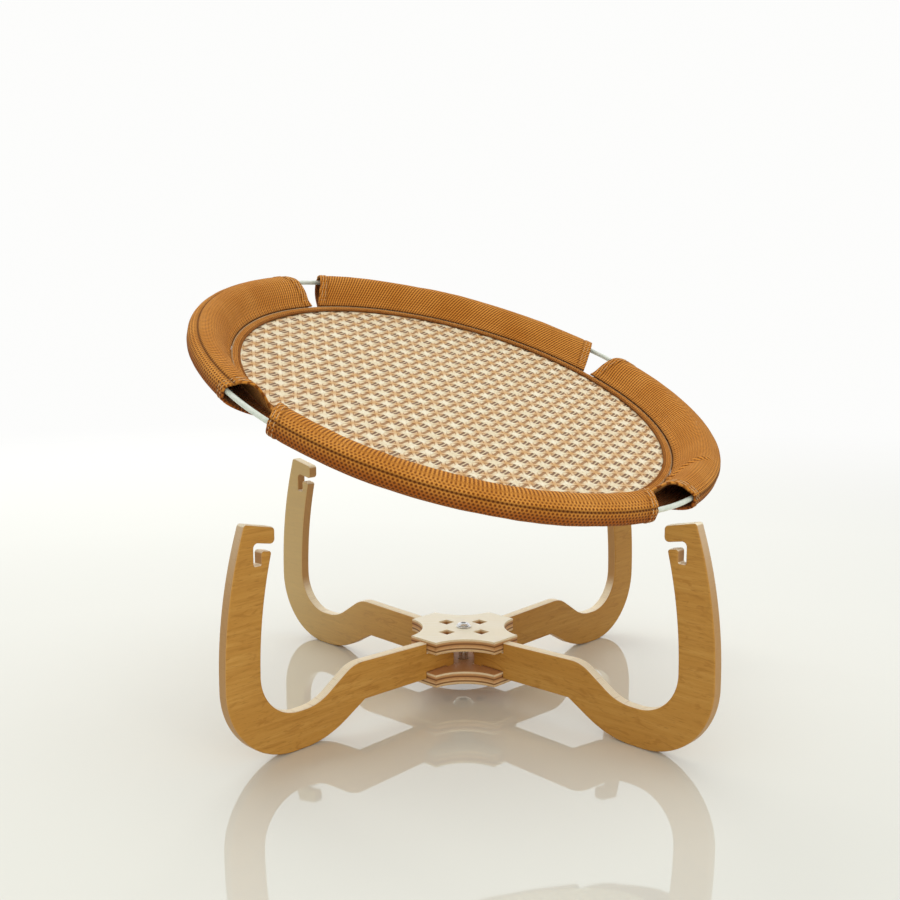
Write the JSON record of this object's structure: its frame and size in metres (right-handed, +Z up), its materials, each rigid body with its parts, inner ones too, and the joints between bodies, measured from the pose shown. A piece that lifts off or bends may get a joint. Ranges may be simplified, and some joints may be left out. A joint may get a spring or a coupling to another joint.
{
  "type": "elevated pet bed",
  "caption": "Round raised pet lounger: a woven mat with padded mesh sleeves on a wire hoop, which hooks onto crossed plywood legs clamped between hub plates.",
  "frame": {"origin": "on the floor, under the middle of the whole object with the bed lifted as in the picture; the clamping bolt's axis is 4.2 mm along +X and 12.2 mm along +Y from it", "axes": "+Z up along the clamping bolt, +X to the right and -Y towards the viewer; the legs stand on the diagonals"},
  "size_m": [0.4253, 0.4218, 0.3523],
  "materials": {
    "leg_plywood": "satin",
    "hub_birch": "satin",
    "chrome_steel": "polished",
    "hoop_coating": "satin",
    "mesh_cloth": "matt",
    "woven_straw": "matt",
    "binding_tape": "matt"
  },
  "bodies": {
    "stand": {"leg_front_left": "leg_plywood", "leg_front_right": "leg_plywood", "leg_back_left": "leg_plywood", "leg_back_right": "leg_plywood", "hub_plate_bottom": "hub_birch", "hub_plate_top": "hub_birch", "clamp_bolt": "chrome_steel", "bolt_washer": "chrome_steel", "sleeve_nut": "chrome_steel", "nut_washer": "chrome_steel"},
    "bed": {"hoop": "hoop_coating", "sleeve_front": "mesh_cloth", "sleeve_right": "mesh_cloth", "sleeve_back": "mesh_cloth", "sleeve_left": "mesh_cloth", "woven_mat": "woven_straw", "mat_binding": "binding_tape"}
  },
  "joints": [
    {"name": "bed_lift", "type": "hinge", "parent": "stand", "child": "bed", "pos_m": [0.2011, -0.22372, 0.18826], "axis": [0.7564, 0.6473, 0.0935], "range_deg": [-22.07, 20], "deforming": ["hoop"]}
  ]
}
